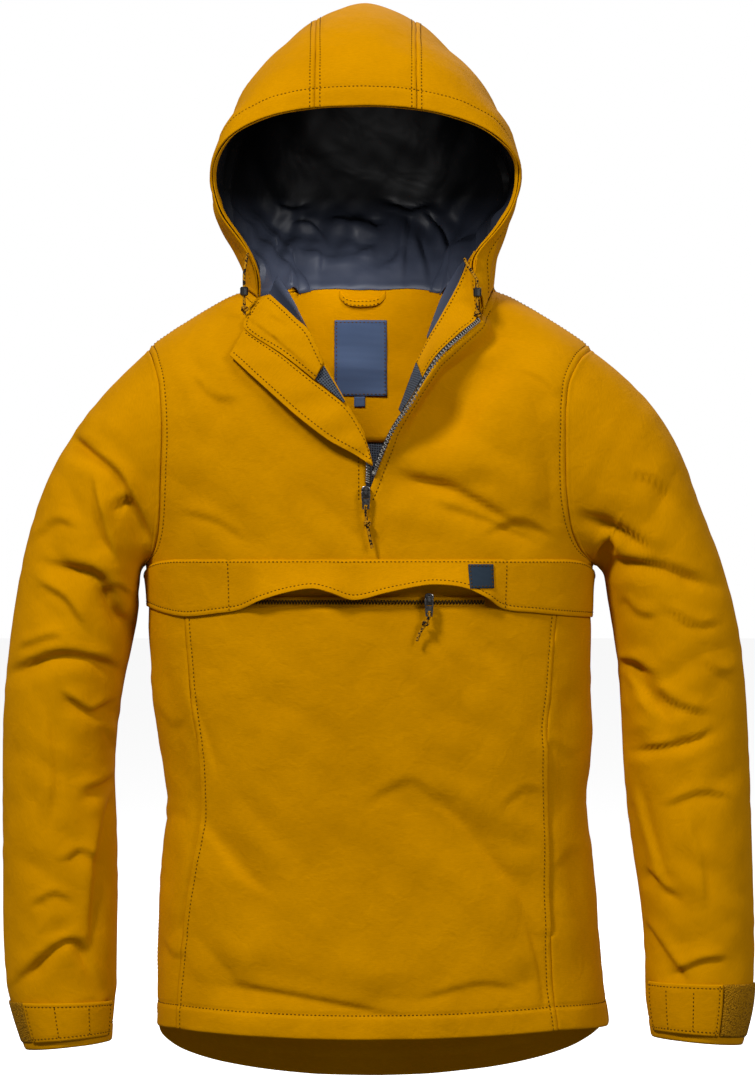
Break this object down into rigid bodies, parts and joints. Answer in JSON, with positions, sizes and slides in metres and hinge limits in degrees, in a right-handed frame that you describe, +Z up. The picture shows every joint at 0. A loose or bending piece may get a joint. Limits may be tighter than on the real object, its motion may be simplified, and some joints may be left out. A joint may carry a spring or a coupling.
{
  "type": "hooded pullover anorak",
  "caption": "Hollow hooded pullover jacket with a half zip open at the neck, a flap pocket band across the chest, long set-in sleeves and a dropped back hem.",
  "frame": {"origin": "middle of the neck opening, between the shoulders, where the filled-out garment is held", "axes": "+Z up towards the hood, -Y out of the front, +X towards the side of the open zip edge (the wearer's left)"},
  "size_m": [0.751, 0.2896, 1.0831],
  "materials": {
    "shell_cloth": "matt ochre cotton and polyester shell cloth",
    "hood_lining_satin": "slate satin with a soft sheen",
    "body_lining_mesh": "matt navy mesh",
    "woven_label": "woven, bare",
    "zip_tape": "matt woven tape",
    "dark_metal": "dark gunmetal, worn satin",
    "hook_and_loop": "rough hooks",
    "braided_cord": "braided, black with ochre flecks",
    "cord_lock_plastic": "matt black"
  },
  "bodies": {
    "garment": {"front_chest": "shell_cloth", "front_lower": "shell_cloth", "side_left": "shell_cloth", "side_right": "shell_cloth", "back": "shell_cloth", "sleeve_left_front": "shell_cloth", "sleeve_left_back": "shell_cloth", "sleeve_right_front": "shell_cloth", "sleeve_right_back": "shell_cloth", "hood_centre": "shell_cloth", "hood_left": "shell_cloth", "hood_right": "shell_cloth", "hood_rim_facing": "shell_cloth", "hood_lining": "hood_lining_satin", "pocket_band": "shell_cloth", "pocket_zip_tape": "zip_tape", "pocket_label": "woven_label", "facing_left": "shell_cloth", "front_lining_left": "body_lining_mesh", "storm_flap": "shell_cloth", "facing_right": "shell_cloth", "front_lining_right": "body_lining_mesh", "zip_tape_right": "zip_tape", "zip_tape_left": "zip_tape", "back_yoke_facing": "shell_cloth", "back_lining": "body_lining_mesh", "neck_label": "woven_label", "size_label": "woven_label", "hanger_loop": "shell_cloth", "cuff_strap_left": "shell_cloth", "cuff_patch_left": "hook_and_loop", "cuff_strap_right": "shell_cloth", "cuff_patch_right": "hook_and_loop", "zip_slider": "dark_metal", "zip_bridge": "dark_metal", "pocket_zip_slider": "dark_metal", "pocket_zip_bridge": "dark_metal", "drawcord_left": "braided_cord", "cord_lock_left": "cord_lock_plastic", "drawcord_right": "braided_cord", "cord_lock_right": "cord_lock_plastic"},
    "zip_tab": {"zip_pull": "dark_metal", "zip_pull_cord": "braided_cord"},
    "pocket_tab": {"pocket_zip_pull": "dark_metal", "pocket_zip_pull_cord": "braided_cord"}
  },
  "joints": [
    {"name": "zip_pull_hinge", "type": "hinge", "parent": "garment", "child": "zip_tab", "pos_m": [-0.0039, -0.12978, -0.193], "axis": [-1, 0, 0], "range_deg": [0, 150]},
    {"name": "pocket_pull_hinge", "type": "hinge", "parent": "garment", "child": "pocket_tab", "pos_m": [0.058, -0.12921, -0.298], "axis": [-1, 0, 0], "range_deg": [0, 90]}
  ]
}
